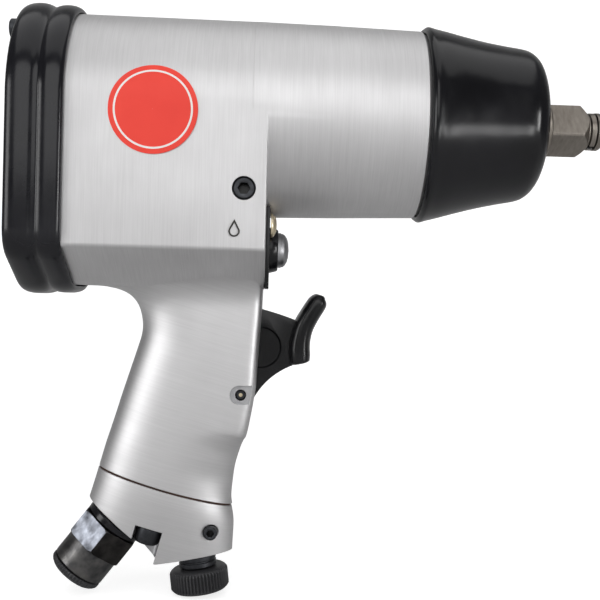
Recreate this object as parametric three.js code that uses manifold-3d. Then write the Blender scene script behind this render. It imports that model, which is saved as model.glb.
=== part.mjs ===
// Air impact wrench with a half-inch square drive, as an assembly of separate solids.
// Millimetres. The origin is the centre of the drive's front end face, +X points forward along the
// barrel axis, and +Z is up, so the handle hangs down in -Z.

import * as THREE from 'three';
import { mergeVertices } from 'three/addons/utils/BufferGeometryUtils.js';
import Module from 'manifold-3d';

const wasm = await Module();
wasm.setup();

// ---------------------------------------------------------------- driving dimensions

const GAP = 0.3;                      // clearance between neighbouring solids
const DEG = Math.PI / 180;

// Square drive and anvil
const DRIVE_FLATS = 12.7;             // across flats of the half-inch square
const DRIVE_CORNERS = 17.2;           // across its turned corners
const DRIVE_ROLL = 17 * DEG;          // how far the square is turned from corner-level
const SQUARE_BACK = -18.3;
const SQUARE_FRONT = -5.3;
const NOSE_RADIUS = 6.25;
const SHAFT_RADIUS = 9;
const JOURNAL_RADIUS = 10.4;

// Barrel
const BARREL_FRONT = -24.2;           // front end of the hammer case, under the boot
const BOOT_RIM_X = -61.6;
const BARREL_RIM_RADIUS = 30.6;       // barrel radius just behind the boot's rim
const BARREL_BACK_RADIUS = 31.9;
const BODY_FRONT = -111.3;            // step where the motor body begins
const BODY_BACK = -172;               // where the bumper begins
const BODY_RADIUS = 32.3;
const BODY_BOTTOM = -55.8;
const BODY_FOOT = 10.5;               // half width of the flat under the body
const CHAMFER_HEIGHT = 11.4;
const SIDE_DRAFT = 0.6;
const BODY_END = -180;                // back face of the housing, under the bumper
const COVER_FRONT = -181.1;
const COVER_BACK = -188.3;
const BUMPER_CREST = 34.8;
const BUMPER_VALLEY = 33.6;
const BUMPER_BOTTOM = -57.6;

// Motor and hammer bores
const MOTOR_BORE = 26;
const MOTOR_FRONT = -116;
const HAMMER_BORE = 25.4;
const HAMMER_FRONT = -57;
const BUSHING_BORE = 13.6;

// Handle: a frame turned about Y whose origin is the middle of the base seam
const HANDLE_TILT = 15.4 * DEG;
const SEAM_X = -142.2;
const SEAM_Z = -121.3;
const HANDLE_HALF_WIDTH = 11.3;
const HANDLE_REAR = -23.1;
const SEAM_GAP = 0.55;

// Base, inlet and regulator
const INLET_TILT = 37.5 * DEG;
const INLET_X = -157.95;
const INLET_Z = -132.36;
const REGULATOR_TILT = -7.4 * DEG;
const REGULATOR_X = -131.6;
const REGULATOR_Z = -143.6;
const BASE_SCREW_U = -0.75;
const BASE_SCREW_Y = 6.6;
const WEB_HALF = 2;

// Trigger, throttle and reverse valve
const PIVOT_X = -118.1;
const PIVOT_Z = -90.1;
const PIN_RADIUS = 1.5;
const SLOT_HALF = 4.6;
const SLOT_BACK = -125;
const THROTTLE_Z = -72;
const REVERSE_Z = -42.7;
const REVERSE_BORE = 6.2;
const PLATE_SCREW_Y = 9;
const PLATE_SCREW_Z = -35.2;

// Rear cover screws, as [y, z]
const COVER_SCREWS = [[18.3, 23], [-18.3, 23], [20, -38.5], [-20, -38.5]];
const COVER_SCREW_RADIUS = 1.8;

// ---------------------------------------------------------------- materials

const finish = (color, roughness, metalness) =>
  new THREE.MeshStandardMaterial({ color, roughness, metalness });

const ALUMINIUM = finish(0xc4c3c4, 0.38, 0.9);
const BLACK_VINYL = finish(0x0c0c0e, 0.12, 0);
const BLACK_RUBBER = finish(0x17181b, 0.3, 0);
const BLACK_PLASTIC = finish(0x1d1e21, 0.4, 0);
const BLACK_STEEL = finish(0x24262a, 0.42, 0.8);
const DRIVE_STEEL = finish(0x6f6a63, 0.35, 0.95);
const BRIGHT_STEEL = finish(0x9a9ca0, 0.3, 0.95);
const BRASS = finish(0xc8b078, 0.35, 0.9);
const BRONZE = finish(0x9c7446, 0.45, 0.85);
const PAPER = finish(0x6b4f45, 0.9, 0);
const VANE_RESIN = finish(0x5b3f2a, 0.7, 0);

// ---------------------------------------------------------------- solids

// Manifold solid of a closed three.js geometry
function solidOf(geometry) {
  const bare = geometry.clone();
  bare.deleteAttribute('normal');
  bare.deleteAttribute('uv');
  const merged = mergeVertices(bare, 1e-4);
  const index = merged.index.array;
  const triangles = [];
  for (let i = 0; i < index.length; i += 3) {
    const [a, b, c] = [index[i], index[i + 1], index[i + 2]];
    if (a !== b && b !== c && c !== a) triangles.push(a, b, c);
  }
  return new wasm.Manifold(new wasm.Mesh({
    numProp: 3,
    vertProperties: new Float32Array(merged.attributes.position.array),
    triVerts: new Uint32Array(triangles),
  }));
}

function geometryOf(solid) {
  const mesh = solid.getMesh();
  const geometry = new THREE.BufferGeometry();
  geometry.setAttribute('position', new THREE.BufferAttribute(new Float32Array(mesh.vertProperties), 3));
  geometry.setIndex(new THREE.BufferAttribute(new Uint32Array(mesh.triVerts), 1));
  geometry.computeVertexNormals();
  return geometry;
}

// Solid of revolution about X or Z. The profile is a closed outline of [position along axis, radius].
function turned(axis, profile, segments = 24) {
  const points = profile.map(([along, radius]) => new THREE.Vector2(radius, along));
  const touchesAxis = points[0].x === 0 && points[points.length - 1].x === 0;
  if (!touchesAxis) points.push(points[0].clone());
  if (THREE.ShapeUtils.area(points) < 0) points.reverse();
  const geometry = new THREE.LatheGeometry(points, segments);
  if (axis === 'x') geometry.rotateZ(-Math.PI / 2);
  if (axis === 'z') geometry.rotateX(Math.PI / 2);
  return solidOf(geometry);
}

function rod(axis, from, to, radius, segments = 16) {
  return turned(axis, [[from, 0], [from, radius], [to, radius], [to, 0]], segments);
}

function ring(axis, from, to, inner, outer, segments = 24) {
  return turned(axis, [[from, inner], [from, outer], [to, outer], [to, inner]], segments);
}

function box(x0, x1, y0, y1, z0, z1) {
  const geometry = new THREE.BoxGeometry(x1 - x0, y1 - y0, z1 - z0);
  geometry.translate((x0 + x1) / 2, (y0 + y1) / 2, (z0 + z1) / 2);
  return solidOf(geometry);
}

function shapeOf(points) {
  return new THREE.Shape(points.map(([a, b]) => new THREE.Vector2(a, b)));
}

// Prism of an outline in (y, z), from x0 to x1
function prismX(shape, x0, x1, curveSegments = 10) {
  const options = { depth: x1 - x0, bevelEnabled: false, curveSegments };
  const geometry = new THREE.ExtrudeGeometry(shape, options);
  const basis = new THREE.Matrix4().makeBasis(
    new THREE.Vector3(0, 1, 0), new THREE.Vector3(0, 0, 1), new THREE.Vector3(1, 0, 0));
  geometry.applyMatrix4(basis).translate(x0, 0, 0);
  return solidOf(geometry);
}

// Prism of an outline in (x, z), from y0 to y1
function prismY(shape, y0, y1, curveSegments = 8) {
  const options = { depth: y1 - y0, bevelEnabled: false, curveSegments };
  const geometry = new THREE.ExtrudeGeometry(shape, options);
  geometry.rotateX(Math.PI / 2).translate(0, y1, 0);
  return solidOf(geometry);
}

// Closed skin through rings of equal point count, with a fan closing each end
function loft(rings) {
  const count = rings[0].length;
  const positions = rings.flat().flatMap((point) => [point.x, point.y, point.z]);
  const index = [];
  for (let r = 0; r + 1 < rings.length; r += 1) {
    for (let i = 0; i < count; i += 1) {
      const a = r * count + i;
      const b = r * count + (i + 1) % count;
      index.push(a, b, b + count, a, b + count, a + count);
    }
  }
  const last = (rings.length - 1) * count;
  for (let i = 1; i + 1 < count; i += 1) {
    index.push(0, i + 1, i);
    index.push(last, last + i, last + i + 1);
  }
  const geometry = new THREE.BufferGeometry();
  geometry.setAttribute('position', new THREE.BufferAttribute(new Float32Array(positions), 3));
  geometry.setIndex(index);
  return solidOf(geometry);
}

const cut = (solid, ...cutters) => cutters.reduce((result, cutter) => result.subtract(cutter), solid);
const joined = (first, ...others) => others.reduce((result, other) => result.add(other), first);

function hexagon(acrossFlats, turn = 0) {
  const radius = acrossFlats / Math.sqrt(3);
  const corners = [0, 1, 2, 3, 4, 5].map((i) => turn + i * 60 * DEG);
  return shapeOf(corners.map((angle) => [radius * Math.cos(angle), radius * Math.sin(angle)]));
}

// Prism of an outline in (x, y) along Z
function prismZ(shape, z0, z1) {
  const geometry = new THREE.ExtrudeGeometry(shape, { depth: z1 - z0, bevelEnabled: false });
  geometry.translate(0, 0, z0);
  return solidOf(geometry);
}

// ---------------------------------------------------------------- frames and the assembly

const wrench = new THREE.Group();

function frameAt(x, z, tilt) {
  const frame = new THREE.Group();
  frame.position.set(x, 0, z);
  frame.rotation.y = tilt;
  frame.updateMatrix();
  wrench.add(frame);
  return frame;
}

const handleFrame = frameAt(SEAM_X, SEAM_Z, HANDLE_TILT);
const inletFrame = frameAt(INLET_X, INLET_Z, INLET_TILT);
const regulatorFrame = frameAt(REGULATOR_X, REGULATOR_Z, REGULATOR_TILT);

// A solid built in a frame, moved into the wrench's own axes
const inWrench = (solid, frame) => solid.transform(frame.matrix.elements);

function add(name, solid, material, frame = wrench) {
  const mesh = new THREE.Mesh(geometryOf(solid), material);
  mesh.name = name;
  frame.add(mesh);
}

// ---------------------------------------------------------------- outlines

// Motor body section: a half circle on near-vertical sides, chamfered to a narrow flat bottom
function archOutline(radius, bottom) {
  const shape = new THREE.Shape();
  shape.absarc(0, 0, radius, 0, Math.PI, false);
  shape.lineTo(-radius + SIDE_DRAFT, bottom + CHAMFER_HEIGHT);
  shape.lineTo(-BODY_FOOT, bottom);
  shape.lineTo(BODY_FOOT, bottom);
  shape.lineTo(radius - SIDE_DRAFT, bottom + CHAMFER_HEIGHT);
  return shape;
}

// Handle section at one height: a round-ended oval whose front half squares up as squareness grows
function handleRing(height, rear, front, halfWidth, squareness) {
  const count = 24;
  const points = [];
  for (let i = 0; i < count; i += 1) {
    const angle = (2 * Math.PI * i) / count;
    const forward = Math.cos(angle) > 0;
    const power = 2 / (forward ? squareness : 1.9);
    const along = Math.abs(Math.cos(angle)) ** power * (forward ? front : rear);
    const across = Math.sign(Math.sin(angle)) * Math.abs(Math.sin(angle)) ** power * halfWidth;
    points.push(new THREE.Vector3(along, across, height));
  }
  return points;
}

// ---------------------------------------------------------------- housing

function barrelSolid() {
  return turned('x', [
    [BARREL_FRONT, 0], [BARREL_FRONT, 15.6], [-25.3, 18.8], [-27.6, 21.2], [-32.1, 22.9],
    [BOOT_RIM_X, BARREL_RIM_RADIUS - 0.9], [BOOT_RIM_X - 1, BARREL_RIM_RADIUS],
    [MOTOR_FRONT, BARREL_BACK_RADIUS], [MOTOR_FRONT, 0],
  ], 36);
}

// Handle stations from the seam up into the body: [height, rear, front, squareness of the front]
const HANDLE_STATIONS = [
  [SEAM_GAP, HANDLE_REAR, 22.7, 1.8], [3, HANDLE_REAR, 21.6, 1.8], [8, HANDLE_REAR, 20.6, 1.8],
  [13, -22.95, 19.9, 2.1], [18.5, -22.8, 19.9, 2.6], [22, -22.75, 20.2, 4.5], [25, -22.7, 20.7, 8],
  [37.4, -22.3, 19.35, 12], [44, -22.1, 18.1, 12],
];

// Above the last station the rings swing level and run back under the body.
// Each is rear x and z, front x and z, and the share of its length behind the widest point.
const NECK_STATIONS = [
  [-151.25, -69.5, -112.9, -79.5, 0.56], [-151.6, -65.6, -112.6, -75, 0.58],
  [-152.8, -62, -112.4, -70.5, 0.61], [-155.2, -59, -112.1, -66.5, 0.65],
  [-158.9, -57.1, -111.9, -62.5, 0.7], [-163.5, -56.1, -111.8, -59, 0.74],
  [-169, -55.4, -111.7, -55.7, 0.78], [-171, -52, -111.7, -52, 0.78],
];
// The handle widens into the body's chamfer between these heights
const FLARE_START = -64;
const FLARE_END = -51.8;
const FLARE_WIDTH = 6.5;
const FLARE_POWER = 3.4;

function flare(z) {
  const rise = Math.min(Math.max(z, FLARE_START), FLARE_END) - FLARE_START;
  const share = rise / (FLARE_END - FLARE_START);
  return 1 + FLARE_WIDTH * share ** FLARE_POWER / HANDLE_HALF_WIDTH;
}

function neckRing([rearX, rearZ, frontX, frontZ, share]) {
  const length = Math.hypot(frontX - rearX, frontZ - rearZ);
  const ring = handleRing(0, -share * length, (1 - share) * length, HANDLE_HALF_WIDTH, 12);
  const tilt = Math.atan2(rearZ - frontZ, frontX - rearX);
  const middleX = rearX + share * (frontX - rearX);
  const middleZ = rearZ + share * (frontZ - rearZ);
  return ring.map((point) => {
    const z = middleZ - point.x * Math.sin(tilt);
    return new THREE.Vector3(middleX + point.x * Math.cos(tilt), point.y * flare(z), z);
  });
}

function handleSolid() {
  const rings = HANDLE_STATIONS.map(([height, rear, front, squareness]) =>
    handleRing(height, rear, front, HANDLE_HALF_WIDTH, squareness));
  rings.flat().forEach((point) => point.applyMatrix4(handleFrame.matrix));
  return loft([...rings, ...NECK_STATIONS.map(neckRing)]);
}

const TRIGGER_POCKET_HALF = 3;
const CHEEK_SEAT = 10.1;              // |y| of the pocket floors beside the trigger pin
const OIL_PLUG = { x: -118.1, z: -25.9, radius: 3.3 };

// Round-ended pocket in one cheek, open to the front, around the end of the trigger pin
function pinPocket(side) {
  const shape = new THREE.Shape();
  shape.absarc(PIVOT_X - 0.5, PIVOT_Z, TRIGGER_POCKET_HALF, 90 * DEG, 270 * DEG, false);
  shape.lineTo(PIVOT_X + 12, PIVOT_Z - TRIGGER_POCKET_HALF);
  shape.lineTo(PIVOT_X + 12, PIVOT_Z + TRIGGER_POCKET_HALF);
  return side < 0 ? prismY(shape, -20, -CHEEK_SEAT) : prismY(shape, CHEEK_SEAT, 20);
}

function housingSolid() {
  const body = prismX(archOutline(BODY_RADIUS, BODY_BOTTOM), BODY_END, BODY_FRONT);
  const outside = joined(barrelSolid(), body, handleSolid());
  const screwHoles = COVER_SCREWS.map(([y, z]) =>
    rod('x', -200, BODY_BACK - 1, COVER_SCREW_RADIUS + GAP, 10).translate(0, y, z));
  const sides = [-1, 1];
  const baseHoles = sides.map((side) =>
    inWrench(rod('z', -1, 13, 2.8, 10).translate(BASE_SCREW_U, side * BASE_SCREW_Y, 0), handleFrame));
  const plateHoles = sides.map((side) =>
    rod('x', -119, -100, 1.8, 8).translate(0, side * PLATE_SCREW_Y, PLATE_SCREW_Z));
  return cut(
    outside,
    rod('x', -200, MOTOR_FRONT, MOTOR_BORE, 28),
    rod('x', MOTOR_FRONT - 1, HAMMER_FRONT, HAMMER_BORE, 28),
    rod('x', HAMMER_FRONT - 1, 0, BUSHING_BORE, 24),
    box(SLOT_BACK, -100, -SLOT_HALF, SLOT_HALF, -97.5, -60.8),
    rod('y', -20, 20, PIN_RADIUS + GAP, 12).translate(PIVOT_X, 0, PIVOT_Z),
    ...sides.map(pinPocket),
    rod('x', -141, SLOT_BACK + 1, 4.5, 16).translate(0, 0, THROTTLE_Z),
    inWrench(rod('z', -1, 53, 3.5, 8).translate(-9, 0, 0), handleFrame),
    inWrench(rod('z', -1, 97, 3.2, 8).translate(-17, 0, 0), handleFrame),
    rod('z', THROTTLE_Z, REVERSE_Z, 2.5, 8).translate(-130, 0, 0),
    rod('z', REVERSE_Z, -24, 2.5, 8).translate(-123, 0, 0),
    rod('x', -151, -100, REVERSE_BORE, 20).translate(0, 0, REVERSE_Z),
    rod('y', -40, -25, OIL_PLUG.radius + GAP, 16).translate(OIL_PLUG.x, 0, OIL_PLUG.z),
    rod('y', -26, -5, 1, 8).translate(OIL_PLUG.x, 0, OIL_PLUG.z),
    ...screwHoles, ...baseHoles, ...plateHoles,
  );
}

add('housing', housingSolid(), ALUMINIUM);

// ---------------------------------------------------------------- rear cover and bumper

function coverHoles(solid) {
  return cut(solid, ...COVER_SCREWS.map(([y, z]) =>
    rod('x', -200, -150, COVER_SCREW_RADIUS + GAP, 10).translate(0, y, z)));
}

const bodyPlate = (x0, x1) => prismX(archOutline(BODY_RADIUS, BODY_BOTTOM), x0, x1);

add('rear_cover', coverHoles(bodyPlate(COVER_BACK, COVER_FRONT)), ALUMINIUM);
add('rear_gasket', cut(coverHoles(bodyPlate(-180.8, -180.3)), rod('x', -190, -170, 26.4, 28)), PAPER);

// Rubber band of two ribs around the body's end and the cover
function bumperSolid() {
  const band = (x0, x1, radius, bottom) => prismX(archOutline(radius, bottom), x0, x1);
  const outside = joined(
    band(COVER_BACK, -181.2, BUMPER_CREST, BUMPER_BOTTOM),
    band(-181.2, -179.2, BUMPER_VALLEY, BUMPER_BOTTOM + 0.7),
    band(-179.2, BODY_BACK, BUMPER_CREST, BUMPER_BOTTOM));
  return cut(outside, band(COVER_BACK - 1, BODY_BACK + 1, BODY_RADIUS + GAP, BODY_BOTTOM - GAP));
}

add('rear_bumper', bumperSolid(), BLACK_RUBBER);

// Socket-head cap screw along X whose head sits behind x, threading forward
function capScrewX(x, shankLength, radius) {
  const head = rod('x', x - 2 * radius, x - GAP, 1.75 * radius);
  const shank = rod('x', x - 2 * radius + 1, x + shankLength, radius, 10);
  const socket = prismZ(hexagon(1.5 * radius), -radius, radius).rotate([0, 90, 0]).translate(x - 2 * radius, 0, 0);
  return cut(joined(head, shank), socket);
}

COVER_SCREWS.forEach(([y, z], i) => {
  const screw = capScrewX(COVER_BACK, 14, COVER_SCREW_RADIUS).translate(0, y, z);
  add(`rear_cover_screw_${i + 1}`, screw, BLACK_STEEL);
});

// ---------------------------------------------------------------- front boot

function bootSolid() {
  const skin = turned('x', [
    [BOOT_RIM_X, 0], [BOOT_RIM_X, 31.2], [-60.6, 32], [-59.4, 31.8], [-58.2, 31.3], [-54.8, 30.8],
    [-48, 29], [-41.2, 27.4], [-28.5, 25.1], [-26, 24.2], [-23.8, 22.3], [-22.2, 19], [-21.5, 15],
    [-21.4, 0],
  ], 32);
  const inside = turned('x', [
    [-63, 0], [-63, 30.1], [BOOT_RIM_X, 30.1], [-32, 23.3], [-27.3, 21.7], [-24.9, 19.2], [-23.8, 16],
    [-23.8, 0],
  ], 32);
  return cut(skin, inside, rod('x', -30, 0, 9.6, 24));
}

add('front_boot', bootSolid(), BLACK_VINYL);

// ---------------------------------------------------------------- anvil and its fittings

const RING_GROOVE = 4.2;

function anvilSolid() {
  const half = DRIVE_FLATS / 2;
  const square = box(SQUARE_BACK - 1, SQUARE_FRONT, -half, half, -half, half);
  const corners = turned('x', [
    [SQUARE_BACK - 1, 0], [SQUARE_BACK - 1, DRIVE_CORNERS / 2], [SQUARE_FRONT - 2.3, DRIVE_CORNERS / 2],
    [SQUARE_FRONT, NOSE_RADIUS], [SQUARE_FRONT, 0],
  ]);
  const drive = square.rotate([DRIVE_ROLL / DEG - 45, 0, 0]).intersect(corners);
  const shaft = turned('x', [
    [-109.4, 0], [-109.4, 6.4], [-106, 6.4], [-106, 9], [-63.6, 9], [-63.6, JOURNAL_RADIUS],
    [-26.8, JOURNAL_RADIUS], [-26.8, SHAFT_RADIUS], [SQUARE_BACK, SHAFT_RADIUS - 0.3], [SQUARE_BACK, 0],
  ]);
  const nose = turned('x', [
    [SQUARE_FRONT - 1, 0], [SQUARE_FRONT - 1, 5.9], [-4.8, 5.9], [-4.8, RING_GROOVE],
    [-2.2, RING_GROOVE], [-2.2, NOSE_RADIUS], [-0.7, NOSE_RADIUS], [0, 5.6], [0, 0],
  ]);
  const jaws = box(-106, -63.8, -4, 4, -12, 12).intersect(rod('x', -107, -63, 12.2, 20));
  return joined(drive, shaft, nose, jaws);
}

add('anvil', anvilSolid(), DRIVE_STEEL);
add('friction_ring', cut(
  ring('x', -4.4, -2.6, 5.35, 6.1),
  box(-6, -1, -0.9, 0.9, -8, 0).rotate([-20, 0, 0]),
), BRIGHT_STEEL);
add('friction_ring_seal', ring('x', -4.3, -2.7, 4.5, 5.05, 20), BLACK_RUBBER);
add('anvil_bushing', ring('x', -56.7, -26.8, JOURNAL_RADIUS + GAP, BUSHING_BORE - GAP), BRONZE);
add('anvil_seal', ring('x', -26.5, -24.5, SHAFT_RADIUS + GAP, BUSHING_BORE - GAP), BLACK_RUBBER);

// ---------------------------------------------------------------- hammer mechanism

const CAGE_RADIUS = 24.4;
const HAMMER_PIN_Z = 18;
const HAMMER_PIN_RADIUS = 2.7;
const CAGE_DISCS = [[-112.5, -106.5, 6.8], [-63.5, -58.5, 10.8]];

function cageSolid() {
  const discs = CAGE_DISCS.map(([x0, x1, bore]) => ring('x', x0, x1, bore, CAGE_RADIUS));
  const bridge = ring('x', -107, -63, 23.6, 24.9).intersect(box(-108, -62, -30, 30, -11, 11));
  const pinHole = rod('x', -120, -50, HAMMER_PIN_RADIUS + GAP, 10);
  return cut(joined(...discs, bridge),
    pinHole.translate(0, 0, HAMMER_PIN_Z), pinHole.translate(0, 0, -HAMMER_PIN_Z));
}

// Hammer ring that swings on the pin at pinZ and straddles the opposite one
function hammerSolid(x0, x1, pinZ) {
  const lug = box(x0, x1, -14.5, -11.6, -3, 3);
  return cut(joined(ring('x', x0, x1, 13.6, 22.3), lug),
    rod('x', -120, -50, HAMMER_PIN_RADIUS + GAP, 10).translate(0, 0, pinZ),
    rod('x', -120, -50, 4.9, 12).translate(0, 0, -pinZ));
}

add('hammer_cage', cageSolid(), BRIGHT_STEEL);
add('hammer_rear', hammerSolid(-106.2, -85.2, -HAMMER_PIN_Z), BRIGHT_STEEL);
add('hammer_front', hammerSolid(-84.8, -63.8, HAMMER_PIN_Z), BRIGHT_STEEL);
[HAMMER_PIN_Z, -HAMMER_PIN_Z].forEach((z, i) => {
  add(`hammer_pin_${i + 1}`, rod('x', -112.2, -58.8, HAMMER_PIN_RADIUS, 12).translate(0, 0, z), BRIGHT_STEEL);
});

// ---------------------------------------------------------------- air motor

const ROTOR_RADIUS = 19.5;
const ROTOR_BACK = -171.3;
const ROTOR_FRONT = -125;
const VANES = 6;
const VANE_THICKNESS = 2.2;
const VANE_DEPTH = 8;
const LINER_BORE = 22;
const LINER_OFFSET = -1.8;

// Radial slab from depth below the rotor's surface up to proud above it, at one vane's angle
function vaneSlab(x0, x1, thickness, depth, proud, angle) {
  const slab = box(x0, x1, -thickness / 2, thickness / 2, ROTOR_RADIUS - depth, ROTOR_RADIUS + proud);
  return slab.rotate([angle, 0, 0]);
}

const vaneAngles = Array.from({ length: VANES }, (_, i) => (360 / VANES) * i + 15);

function rotorSolid() {
  const core = turned('x', [
    [-178.5, 0], [-178.5, 5], [ROTOR_BACK, 5], [ROTOR_BACK, ROTOR_RADIUS], [ROTOR_FRONT, ROTOR_RADIUS],
    [ROTOR_FRONT, 6.5], [-109.8, 6.5], [-109.8, 0],
  ]);
  return cut(core, ...vaneAngles.map((angle) =>
    vaneSlab(-180, ROTOR_FRONT + 1, VANE_THICKNESS + 2 * GAP, VANE_DEPTH + 1, 1, angle)));
}

add('rotor', rotorSolid(), BRIGHT_STEEL);
vaneAngles.forEach((angle, i) => {
  const vane = vaneSlab(ROTOR_BACK, ROTOR_FRONT, VANE_THICKNESS, VANE_DEPTH, 0.35, angle);
  add(`vane_${i + 1}`, vane, VANE_RESIN);
});

add('cylinder_liner', cut(
  rod('x', -171.9, -124.6, MOTOR_BORE - 0.4, 28),
  rod('x', -180, -120, LINER_BORE, 28).translate(0, 0, LINER_OFFSET),
), BRIGHT_STEEL);
add('rear_end_plate', turned('x', [
  [-179.7, 11.2], [-179.7, MOTOR_BORE - 0.4], [-172.3, MOTOR_BORE - 0.4], [-172.3, 6], [-173.6, 6],
  [-173.6, 11.2],
], 28), BRIGHT_STEEL);
add('rear_bearing', ring('x', -179.4, -173.9, 5.4, 10.8, 20), BRIGHT_STEEL);
add('front_end_plate', turned('x', [
  [-124.2, 7], [-124.2, MOTOR_BORE - 0.4], [-116.4, MOTOR_BORE - 0.4], [-116.4, 13.2], [-120.6, 13.2],
  [-120.6, 7],
], 28), BRIGHT_STEEL);
add('front_bearing', ring('x', -120.2, -116.6, 6.9, 12.8, 20), BRIGHT_STEEL);

// ---------------------------------------------------------------- handle base

// Base stations from the seam down: [height, rear, front, half width]
const BASE_STATIONS = [
  [-SEAM_GAP, HANDLE_REAR, 22.7, HANDLE_HALF_WIDTH], [-5, HANDLE_REAR, 24.8, HANDLE_HALF_WIDTH],
  [-14, -23.3, 27, 10.8], [-32, -24, 31.5, 9.4],
];

function baseProfile() {
  return prismY(shapeOf([
    [-170, -100], [-166.4, -113], [-167.3, -125.6], [-166, -136.5], [-152.4, -136.8],
    [-144.7, -145.3], [-120, -142.1], [-110, -142], [-110, -100],
  ]), -20, 20);
}

// Pocket for one base screw's head, open to the side and downward
function screwPocket(side) {
  const [y0, y1] = side < 0 ? [-30, -WEB_HALF] : [WEB_HALF, 30];
  return inWrench(box(BASE_SCREW_U - 4.5, BASE_SCREW_U + 4.5, y0, y1, -60, -13), handleFrame);
}

function baseSolid() {
  const rings = BASE_STATIONS.map(([height, rear, front, half]) =>
    handleRing(height, rear, front, half, 1.8));
  const oval = inWrench(loft(rings.reverse()), handleFrame);
  const screwHoles = [-1, 1].map((side) =>
    inWrench(rod('z', -20, 1, 2.8, 10).translate(BASE_SCREW_U, side * BASE_SCREW_Y, 0), handleFrame));
  return cut(
    oval.intersect(baseProfile()),
    screwPocket(-1), screwPocket(1), ...screwHoles,
    inWrench(box(-20, 10.1, -20, 20, -20, 0), inletFrame),
    inWrench(rod('z', -5, 7.3, 6.8, 20), inletFrame),
    inWrench(rod('z', 5, 16, 3.6, 10), inletFrame),
    inWrench(box(-19, 9, -3.2, 3.2, -4, 1), handleFrame),
    inWrench(rod('z', -5, 11, 4.9, 16), regulatorFrame),
    inWrench(rod('z', 10, 24, 2.4, 8), regulatorFrame),
    rod('y', -20, -5, 2.5, 12).translate(-126.8, 0, -135.1),
  );
}

add('handle_base', baseSolid(), ALUMINIUM);

function gasketSolid() {
  const plate = loft([-0.25, 0.25].map((height) => handleRing(height, -22.4, 22, 10.9, 1.8)));
  const screwHole = rod('z', -2, 2, 2.8, 10);
  return cut(plate, box(-20.5, -4, -3.8, 3.8, -2, 2),
    screwHole.translate(BASE_SCREW_U, BASE_SCREW_Y, 0), screwHole.translate(BASE_SCREW_U, -BASE_SCREW_Y, 0));
}

add('base_gasket', gasketSolid(), PAPER, handleFrame);

function baseScrewSolid() {
  const body = turned('z', [
    [-18.3, 0], [-18.3, 3.8], [-17.8, 4.2], [-13.3, 4.2], [-13.3, 2.4], [12, 2.4], [12, 0],
  ], 16);
  return cut(body, prismZ(hexagon(4), -20, -15.5));
}

['left', 'right'].forEach((side, i) => {
  const y = (i === 0 ? 1 : -1) * BASE_SCREW_Y;
  add(`base_screw_${side}`, baseScrewSolid().translate(BASE_SCREW_U, y, 0), BLACK_STEEL, handleFrame);
});

// Headless socket set screw along Y, its open end at y = 0 facing -Y
function setScrewY(radius, length) {
  const socket = prismZ(hexagon(radius * 0.95), -1, length * 0.6).rotate([-90, 0, 0]);
  return cut(rod('y', 0, length, radius), socket);
}

add('oil_plug', setScrewY(OIL_PLUG.radius, 5).translate(OIL_PLUG.x, -31.6, OIL_PLUG.z), BLACK_STEEL);
add('air_passage_plug', setScrewY(2.2, 4).translate(-126.8, -9.6, -135.1), BLACK_STEEL);

// ---------------------------------------------------------------- air inlet

const INLET_RADIUS = 9.1;

function inletBushing() {
  const hex = prismZ(hexagon(19, 30 * DEG), -11.6, -2.8).intersect(turned('z', [
    [-11.6, 0], [-11.6, 10.2], [-10.8, 10.97], [-3.4, 10.97], [-2.8, 10.2], [-2.8, 0],
  ]));
  const outside = joined(
    hex,
    rod('z', -20.5, -11, INLET_RADIUS, 24),
    rod('z', -3, 6.8, 6.4, 20));
  return cut(outside, rod('z', -30, -6, 5.9, 20), rod('z', -7, 10, 4.2));
}

add('inlet_seal', ring('z', -2.5, -0.3, 6.8, 9.6), BLACK_RUBBER, inletFrame);
add('inlet_bushing', inletBushing(), BLACK_STEEL, inletFrame);
add('inlet_strainer', turned('z', [
  [-5.2, 3.3], [-5.2, 3.9], [6, 3.9], [6.4, 3.4], [6.4, 0], [5.9, 0], [5.9, 3.3],
], 16), BRASS, inletFrame);
add('inlet_dust_cap', turned('z', [
  [-23.5, 0], [-23.5, 7.6], [-23, 8.6], [-22.3, INLET_RADIUS], [-20.9, INLET_RADIUS], [-20.9, 5.5],
  [-14, 5.5], [-14, 0],
]), BLACK_PLASTIC, inletFrame);

// ---------------------------------------------------------------- air regulator

const KNOB_RADIUS = 9.6;

add('regulator_gland', turned('z', [
  [-4.3, 2.6], [-4.3, 6.15], [-0.3, 6.15], [-0.3, 4.5], [9, 4.5], [9, 2.6],
], 20), BLACK_STEEL, regulatorFrame);
add('regulator_knob', turned('z', [
  [-12.1, 0], [-12.1, KNOB_RADIUS - 0.7], [-11.4, KNOB_RADIUS], [-5.4, KNOB_RADIUS],
  [-4.6, KNOB_RADIUS - 0.8], [-4.6, 2.6], [-9.5, 2.6], [-9.5, 0],
]), BLACK_PLASTIC, regulatorFrame);
add('regulator_spindle', turned('z', [
  [-9.2, 0], [-9.2, 2.3], [10, 2.3], [12, 1.2], [12, 0],
], 16), BRIGHT_STEEL, regulatorFrame);

// ---------------------------------------------------------------- trigger and throttle valve

const WEB_THICK_HALF = 4;
const PAD_HALF = 8.5;

// Finger pad in profile from its foot to its tip: x, z and half thickness
const PADDLE = [
  [-99.05, -79.7, 2.9], [-99.15, -79.2, 3.4], [-99.35, -77, 3.7], [-99.45, -74.5, 3.65],
  [-99.1, -71.4, 3.5], [-98.1, -67.7, 3.4], [-96.2, -64, 3.3], [-93.9, -60.2, 3.2],
  [-93, -58.6, 2.6], [-92.6, -57.8, 1.6],
];

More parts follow.
